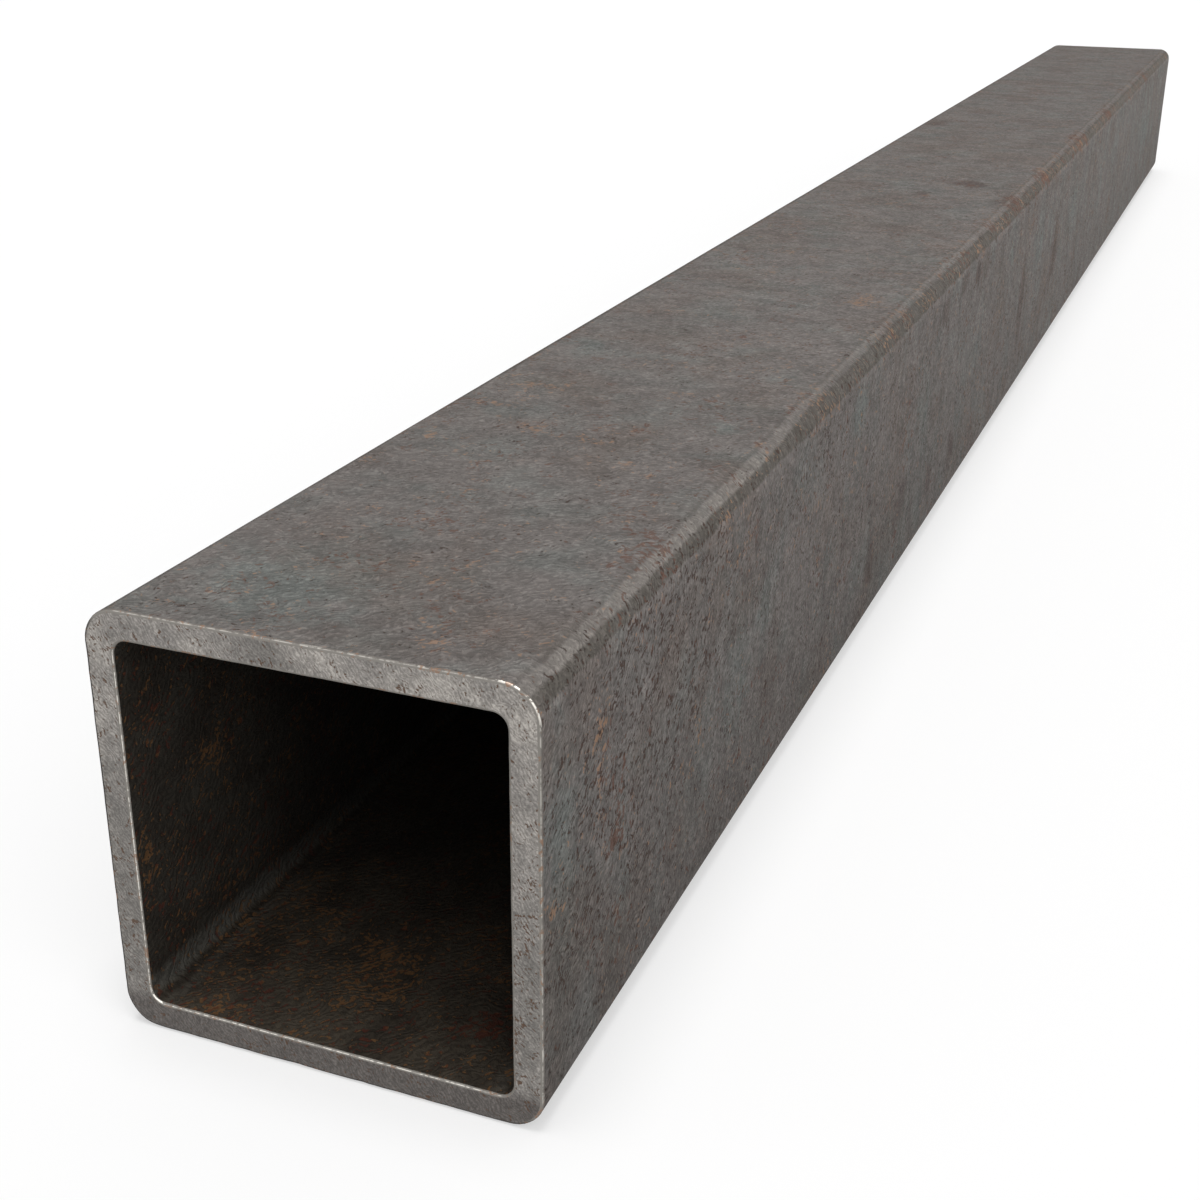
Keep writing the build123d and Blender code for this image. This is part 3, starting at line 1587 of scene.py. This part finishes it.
@dataclass(frozen=True)
class SawnSteel(Finish):
    """Bare steel of a saw cut: swirled light grain with small rust specks.

    Attributes:
        relief: height of the grain.
        roughness: in the hollows of the grain and on its crests.
        metallic: of the steel and of the rust.
        grime_walls: heights between which the painted shade on the lowest leg begins and is
        full, in walls.
        rust_depth: as a share of the relief.
    """

    name: str = "sawn_steel"
    specular: float = 0.2
    relief: float = 0.07 * MM
    grain: Grain = Grain(pitch=0.62, across=(0.0, 0.8, 0.6), shift=19.0, waver=3.2, sway=4.0)
    grain_tone: Range = (0.74, 1.14)
    crest_tone: float = 1.16
    roughness: Range = (0.55, 0.4)
    metallic: Range = (0.6, 0.0)

    bare: Colour = paint(136, 132, 128)
    bright: Colour = paint(165, 160, 154)
    bright_clouds: Clouds = Clouds(size=8.0, shift=13.0)
    mottle: Clouds = Clouds(size=1.5, shift=73.0)
    mottle_tone: Range = (0.88, 1.1)
    shade: Colour = paint(115, 112, 108)
    shade_share: float = 0.7
    shaded_marks: tuple[Mark, ...] = (
        Mark(Face.CUT, -36, 24, 9, 44),
        Mark(Face.CUT, -6, 72, 9, 9, 0.7),
        Mark(Face.CUT, 36, 22, 9, 30, 0.7),
    )
    grime: Colour = paint(95, 90, 87)
    grime_walls: Range = (1.5, 0.9)
    grime_share: float = 0.9
    rust: Colour = paint(92, 67, 49)
    rust_flecks: Flecks = Flecks(size=1.15, shift=29.0, group_size=6.0, gather=0.35, follow=0.25)
    rust_amount: float = 0.155
    rust_share: float = 0.85
    rust_depth: float = 0.8

    def draw(self, sketch: FinishSketch) -> None:
        """Draws the bare steel with its grain, painted shade on some legs and on the lowest one, and
        rust specks.

        Args:
            sketch: where it is drawn.
        """
        grain, crest = sketch.crests(self.grain)
        rust = sketch.flecks(self.rust_flecks, self.rust_amount, grain)
        colour = sketch.blend(sketch.clouds(self.bright_clouds), self.bare, self.bright)
        shaded = sketch.marks(self.shaded_marks, shift=79.0)
        colour = sketch.cover(colour, self.shade, shaded, self.shade_share)
        # Painted shade on the lowest leg, by the ground.
        low = sketch.by_height(*self.grime_walls, unit=sketch.sizes.wall)
        colour = sketch.cover(colour, self.grime, low, self.grime_share)
        colour = sketch.vary(colour, sketch.clouds(self.mottle), *self.mottle_tone)
        colour = sketch.vary(colour, grain, *self.grain_tone)
        colour = sketch.vary(colour, crest, 1.0, self.crest_tone)
        colour = sketch.cover(colour, self.rust, rust, self.rust_share)
        sketch.fill(
            sketch.shader,
            Base_Color=colour,
            Metallic=sketch.between(rust, *self.metallic),
            Roughness=sketch.between(grain, *self.roughness),
        )
        sketch.bump(sketch.minus(grain, sketch.times(rust, self.rust_depth)), self.relief)


@dataclass(frozen=True)
class ArrisWearAndHighlight(Finish):
    """Worn edge of a saw cut, with a painted highlight on its bare, thin ridge where it faces up or
    towards +Y, and painted shade where its outer edge faces down or towards -Y.

    Attributes:
        breaks: what breaks the ridge up.
        ridge_end: where the ridge lies, by how much the surface faces along the tube.
        outer_lean, inner_lean: how much the outer and the inner edge face up and towards +Y where
            their ridge begins and where it is full.
        inner_break: how much of the inner ridge is left where it is broken and where it isn't.
        glint_lean, glint_end, glint_break: the same for the glint on the outer corner.
        cut_end: where the skin's colour turns to the cut's.
        shade_lean: where the outer edge takes painted shade below.
        softness: distance over which the outer edge's finish gives way to the inner one's.
    """

    name: str = "arris_wear_and_highlight"
    specular: float = 0.3
    breaks: Clouds = Clouds(size=1.0, shift=37.0, level=0.48, edge=0.09)
    ridge_end: Window = ((0.56, 0.68), (0.9, 0.8))
    outer_lean: Range = (0.45, 0.98)
    inner_lean: Range = (0.3, 0.6)
    inner_break: Range = (0.18, 1.0)
    glint_lean: Range = (0.86, 1.0)
    glint_end: Window = ((0.3, 0.45), (0.95, 0.85))
    glint_break: Range = (0.2, 0.7)
    metallic: float = 0.35
    roughness: Range = (0.7, 0.35)

    skin_tone: Colour = paint(104, 99, 94)
    cut_tone: Colour = paint(132, 128, 122)
    cut_end: Range = (0.3, 0.9)
    shade: Colour = paint(36, 32, 29)
    shade_lean: Range = (0.1, -0.3)
    softness: float = 1.0 * MM
    bright: Colour = paint(236, 231, 222)
    rust: Colour = paint(140, 108, 86)
    rust_flecks: Flecks = Flecks(size=1.1, shift=41.0, group_size=6.0)
    rust_amount: float = 0.19
    rust_share: float = 0.75

    def draw(self, sketch: FinishSketch) -> None:
        """Draws the edge from the skin's colour to the cut's, its painted shade, the painted highlight
        on its ridge and its rust.

        Args:
            sketch: where it is drawn.
        """
        end = sketch.size_of(sketch.axis("Normal", "X"))
        lean = sketch.plus(sketch.axis("Normal", "Y"), sketch.axis("Normal", "Z"))
        by_bore = self.by_bore(sketch)
        bright = self.bright_mask(sketch, end, lean, by_bore)
        facing = sketch.larger(sketch.spread(end, *self.cut_end), by_bore)
        colour = sketch.blend(facing, self.skin_tone, self.cut_tone)
        # Painted shade on the outer edge where it faces down or towards -Y.
        shaded = sketch.times(sketch.spread(lean, *self.shade_lean), sketch.minus(1.0, by_bore))
        colour = sketch.blend(shaded, colour, self.shade)
        # Painted highlight on the ridge and the corner glint.
        colour = sketch.blend(bright, colour, self.bright)
        rust = sketch.flecks(self.rust_flecks, self.rust_amount)
        colour = sketch.cover(colour, self.rust, rust, self.rust_share)
        sketch.fill(
            sketch.shader,
            Base_Color=colour,
            Metallic=sketch.times(bright, self.metallic),
            Roughness=sketch.between(bright, *self.roughness),
        )

    def by_bore(self, sketch: FinishSketch) -> Socket:
        """Tells the edge of the bore from the edge of the skin.

        Args:
            sketch: where it is drawn.

        Returns:
            The mask of the bore's edge.
        """
        rise = sketch.minus(sketch.axis("Object", "Z"), sketch.sizes.width / 2)
        off_axis = sketch.larger(sketch.size_of(rise), sketch.size_of(sketch.axis("Object", "Y")))
        middle = (sketch.sizes.width + sketch.sizes.bore) / 4
        return sketch.spread(off_axis, middle + self.softness / 2, middle - self.softness / 2)

    def bright_mask(
        self, sketch: FinishSketch, end: Socket, lean: Socket, by_bore: Socket
    ) -> Socket:
        """Draws the broken painted highlight on the ridge, and the painted glint on the outer corner
        between up and +Y.

        Args:
            sketch: where they are drawn.
            end: how much the surface faces along the tube.
            lean: how much it faces up and towards +Y.
            by_bore: mask of the bore's edge.

        Returns:
            The mask of both.
        """
        # The painted highlight shows where the edge faces up or towards +Y, the way the lamps fall.
        ridge = sketch.window(end, *self.ridge_end)
        breaks = sketch.clouds(self.breaks)
        outer = sketch.times(sketch.spread(lean, *self.outer_lean), breaks)
        inner = sketch.spread(lean, *self.inner_lean)
        inner = sketch.times(inner, sketch.between(breaks, *self.inner_break))
        facing_lamps = sketch.plus(outer, sketch.times(by_bore, sketch.minus(inner, outer)))
        rise, fall = self.glint_end
        glint = sketch.times(sketch.spread(lean, *self.glint_lean), sketch.spread(end, *fall))
        glint = sketch.times(glint, sketch.spread(end, *rise))
        glint = sketch.times(glint, sketch.spread(breaks, *self.glint_break))
        return sketch.larger(sketch.times(ridge, facing_lamps), glint)


@dataclass(frozen=True)
class BoreScale(Finish):
    """Dark scale inside the bore, with rust that has settled on its lower face.

    Attributes:
        relief: height of the grain.
        roughness: in the hollows of the grain and on its crests.
        floor_walls: heights between which the floor's colour begins and is full, in walls.
        dark_depth, dark_tone: how far in the painted shade is darkest, and how dark.
        fillet_reach: how far the lower corners reach.
        fillet_height: heights between which they begin and are full, in half widths.
        fillet_window, beside_window, crease_window: the band of painted highlight, the fainter one
            beside it and the painted shade in the crease between them, by their turn round the corner.
        fillet_deep_share: how much of the painted highlight is left far inside.
        wander: how much all three waver.
    """

    name: str = "bore_scale"
    specular: float = 0.15
    relief: float = 0.18 * MM
    grain: Grain = Grain(pitch=1.4, across=(0.6, 0.78, 0.78), shift=47.0, waver=3.2, sway=6.0)
    grain_tone: Range = (0.65, 1.35)
    roughness: Range = (0.85, 0.65)

    wall: Colour = paint(49, 46, 41)
    floor: Colour = paint(60, 54, 46)
    floor_walls: Range = (1.6, 1.1)
    deep: Colour = paint(36, 31, 26)
    deep_clouds: Clouds = Clouds(size=8.0, shift=43.0, edge=0.16, stretch=(1.6, 1.0, 1.0))
    deep_share: float = 0.75
    dark_depth: float = 80.0 * MM
    dark_tone: float = 0.35

    fillet: Colour = paint(72, 70, 65)
    fillet_reach: float = 6.0 * MM
    fillet_height: Range = (1.0, 0.9)
    fillet_window: Window = ((0.44, 0.6), (0.92, 0.72))
    fillet_deep_share: float = 0.6
    beside_window: Window = ((0.1, 0.28), (0.42, 0.34))
    beside_share: float = 0.3
    crease: Colour = paint(34, 30, 25)
    crease_window: Window = ((0.34, 0.43), (0.54, 0.44))
    crease_share: float = 0.7
    wander: float = 0.2

    rust_share: float = 0.6
    rust: Rust = Rust(
        colour=paint(112, 80, 50),
        flecks=Flecks(size=1.3, shift=53.0, group_size=13.0, follow=0.5),
        amount=0.12,
        marked_gain=0.2,
        marks=(
            Mark(Face.BORE_FLOOR, 18, -2, 12, 16),
            Mark(Face.BORE_FLOOR, 3, -22, 5, 9, 0.6),
            Mark(Face.BORE_WALL, 22, 40, 12, 12, 0.6),
            Mark(Face.BORE_WALL, 3, 30, 4, 16, 0.6),
        ),
    )
    red: Rust = Rust(
        colour=paint(78, 38, 28),
        flecks=Flecks(size=1.8, shift=59.0, group_size=13.0, follow=0.5),
        amount=0.08,
        marked_gain=0.2,
        marks=(Mark(Face.BORE_FLOOR, 14, 20, 7, 7),),
    )

    def draw(self, sketch: FinishSketch) -> None:
        """Draws the scale with its painted highlight and shade on the lower corners, grain, rust, and
        painted shade further in.

        Args:
            sketch: where it is drawn.
        """
        end = sketch.sizes.length / 2
        along = sketch.size_of(sketch.axis("Object", "X"))
        depth = sketch.spread(along, end, end - self.dark_depth)
        grain, _ = sketch.crests(self.grain)
        low = sketch.by_height(*self.floor_walls, unit=sketch.sizes.wall)
        colour = sketch.blend(low, self.wall, self.floor)
        deep = sketch.clouds(self.deep_clouds)
        colour = sketch.cover(colour, self.deep, deep, self.deep_share)
        colour = self.fillets(sketch, colour, depth)
        colour = sketch.vary(colour, grain, *self.grain_tone)
        for rust in (self.rust, self.red):
            colour = rust.lay(sketch, colour, grain, self.rust_share)
        # Painted shade, darker further into the bore from both mouths.
        colour = sketch.vary(colour, depth, 1.0, self.dark_tone)
        roughness = sketch.between(grain, *self.roughness)
        sketch.fill(sketch.shader, Base_Color=colour, Roughness=roughness)
        sketch.bump(grain, self.relief)

    def fillets(self, sketch: FinishSketch, colour: Socket, depth: Socket) -> Socket:
        """Draws the lower inner corners: a band of painted highlight up the wall, painted shade in a
        crease, and a fainter band of painted highlight.

        Args:
            sketch: where they are drawn.
            colour: the colour of the flats.
            depth: mask that grows from both mouths of the bore inwards.

        Returns:
            The colour with the corners.
        """
        turn, inside = sketch.corners(sketch.sizes.bore, self.fillet_reach, self.wander)
        low = sketch.by_height(*self.fillet_height, unit=sketch.sizes.width / 2)
        lower = sketch.times(inside, low)
        mouth = sketch.between(depth, 1.0, self.fillet_deep_share)
        band = sketch.window(turn, *self.fillet_window)
        beside = sketch.times(sketch.window(turn, *self.beside_window), self.beside_share)
        # Painted highlight on the lower inner corners, fading further into the bore.
        pale = sketch.times(sketch.grown(beside, mouth, band), lower)
        colour = sketch.cover(colour, self.fillet, pale, mouth)
        # Painted shade in the crease of the lower inner corners.
        crease = sketch.times(sketch.window(turn, *self.crease_window), lower)
        return sketch.cover(colour, self.crease, crease, self.crease_share)


# ---------------------------------------------------------------------------------------------
# Studio
# ---------------------------------------------------------------------------------------------


@dataclass(frozen=True)
class Softbox:
    """A distant soft lamp.

    Attributes:
        name: the lamp's name.
        azimuth: compass direction it shines from, in degrees from +X towards +Y.
        elevation: its height above the floor, in degrees.
        level: how bright a white surface that faces it renders.
        spread: how wide it looks, in degrees.
    """

    name: str
    azimuth: float
    elevation: float
    level: float
    spread: float

    def hang(self) -> None:
        """Makes the lamp."""
        lamp = bpy.data.lights.new(self.name, "SUN")
        lamp.energy = self.level * math.pi
        lamp.angle = math.radians(self.spread)
        around, up = math.radians(self.azimuth), math.radians(self.elevation)
        flat = math.cos(up)
        source = Vector((math.cos(around) * flat, math.sin(around) * flat, math.sin(up)))
        holder = put_in_scene(self.name, lamp)
        holder.rotation_mode = "QUATERNION"
        holder.rotation_quaternion = source.to_track_quat("Z", "Y")


@dataclass(frozen=True)
class Studio:
    """White floor, white surroundings and soft lamps.

    Attributes:
        lamps: the lamps.
        ambient: how brightly the surroundings light the tube.
        floor_half_size, floor_gap: half the floor's width, and how far it lies under the tube.
        floor_shade, floor_bounce: how light the floor looks, and how light it is to the tube.
        floor_glow: share of the floor's look that takes no shadow.
    """

    lamps: tuple[Softbox, ...] = (
        Softbox("overhead_softbox", azimuth=0.0, elevation=88.0, level=0.49, spread=26.0),
        Softbox("front_softbox", azimuth=40.0, elevation=42.0, level=0.42, spread=60.0),
    )
    ambient: float = 0.3
    floor_half_size: float = 12.0
    floor_gap: float = 0.2 * MM
    floor_shade: float = 0.95
    floor_bounce: float = 0.75
    floor_glow: float = 0.5

    def build(self) -> None:
        """Makes the floor, the surroundings and the lamps."""
        self.lay_floor()
        self.light_world()
        for lamp in self.lamps:
            lamp.hang()
            log.info("lamp %s", lamp.name)
        bpy.context.scene.view_settings.view_transform = "Standard"

    @staticmethod
    def seen(sketch: Sketch) -> Socket:
        """Finds the rays that show the background: from the camera, mirrored or through glass.

        Args:
            sketch: where it is drawn.

        Returns:
            Their mask.
        """
        rays = sketch.node("ShaderNodeLightPath").outputs
        mirrored = sketch.plus(rays["Is Camera Ray"], rays["Is Glossy Ray"])
        return sketch.math("ADD", mirrored, rays["Is Transmission Ray"], clamp=True)

    def light_world(self) -> None:
        """Lights the surroundings evenly, and shows them white."""
        world = bpy.data.worlds.new("studio_world")
        world.use_nodes = True
        bpy.context.scene.world = world
        sketch = Sketch(world.node_tree)
        strength = sketch.between(self.seen(sketch), self.ambient, 1.0)
        sketch.fill(world.node_tree.nodes["Background"], Color=(1.0, 1.0, 1.0), Strength=strength)

    def lay_floor(self) -> None:
        """Lays a white floor just under the tube. From below it can't be seen."""
        half = self.floor_half_size
        mesh = bpy.data.meshes.new("studio_floor")
        corners = ((-half, -half), (half, -half), (half, half), (-half, half))
        mesh.from_pydata([(x, y, -self.floor_gap) for x, y in corners], [], [(0, 1, 2, 3)])
        mesh.materials.append(self.floor_finish())
        floor = put_in_scene("studio_floor", mesh)

    def floor_finish(self) -> bpy.types.Material:
        """Makes the floor's material.

        Returns:
            White paint that shows nearly white by itself and still takes a soft shadow.
        """
        made = bpy.data.materials.new("studio_floor")
        made.use_nodes = True
        made.node_tree.nodes.clear()
        sketch = Sketch(made.node_tree)
        seen = self.seen(sketch)
        paint_coat = sketch.node("ShaderNodeBsdfDiffuse")
        sketch.fill(paint_coat, Color=sketch.between(seen, self.floor_bounce, self.floor_shade))
        glow = sketch.node("ShaderNodeEmission").outputs[0]
        lit = sketch.mix(sketch.times(seen, self.floor_glow), paint_coat.outputs[0], glow)
        behind = sketch.node("ShaderNodeNewGeometry").outputs["Backfacing"]
        clear = sketch.node("ShaderNodeBsdfTransparent").outputs[0]
        out = sketch.node("ShaderNodeOutputMaterial")
        sketch.fill(out, Surface=sketch.mix(behind, lit, clear))
        return made


@dataclass(frozen=True)
class Viewpoint:
    """The camera, placed by the foot of the tube's near cut.

    Attributes:
        stand: place in tube widths from the foot of the +X cut.
        azimuth: direction it looks from, in degrees, 0 looking along +Y and 90 along -X.
        elevation: how far it looks down, in degrees.
        roll: turn about the line of sight, in degrees.
        lens: focal length in millimetres on a 36 mm sensor.
    """

    stand: Triple = (2.5283, 1.6098, 2.3466)
    azimuth: float = 111.522
    elevation: float = 23.035
    roll: float = 0.4537
    lens: float = 51.35

    def place(self, sizes: SectionSizes) -> None:
        """Makes the camera.

        Args:
            sizes: the tube's sizes.
        """
        around, down = math.radians(self.azimuth), math.radians(self.elevation)
        flat = math.cos(down)
        back = Vector((math.sin(around) * flat, -math.cos(around) * flat, math.sin(down)))
        right = (-back).cross(Vector((0, 0, 1))).normalized()
        up = right.cross(-back)
        cos, sin = math.cos(math.radians(self.roll)), math.sin(math.radians(self.roll))
        turned = Matrix((cos * right + sin * up, cos * up - sin * right, back)).transposed()
        data = bpy.data.cameras.new("camera")
        data.lens = self.lens
        data.clip_start = 0.01
        data.clip_end = 100.0
        camera = put_in_scene("camera", data)
        foot = Vector((sizes.length / 2, 0.0, 0.0))
        stand = foot + Vector(self.stand) * sizes.width
        camera.matrix_world = Matrix.Translation(stand) @ turned.to_4x4()
        bpy.context.scene.camera = camera


def main() -> None:
    """Builds the tube, its studio and the camera."""
    logging.basicConfig(level=logging.INFO, format="%(name)s: %(message)s")
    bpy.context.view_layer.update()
    sizes = SectionSizes.from_frame(frame, TUBE_NODE)
    Viewpoint().place(sizes)
    Studio().build()
    shelf = EffectShelf(sizes)
    finishes = {
        Zone.MILL_SCALE: MillScale().make(shelf),
        Zone.ARRIS: ArrisWearAndHighlight().make(shelf),
        Zone.SAWN_FACE: SawnSteel().make(shelf),
        Zone.BORE: BoreScale().make(shelf),
    }
    tube = TubeBody(sizes)
    body = tube.build()
    tube.dress(body, finishes)
    log.info("piece %s: %d faces, %d nicks", body.name, len(body.data.polygons), len(tube.nicks))
    bpy.context.view_layer.update()


if __name__ == "__main__":
    main()
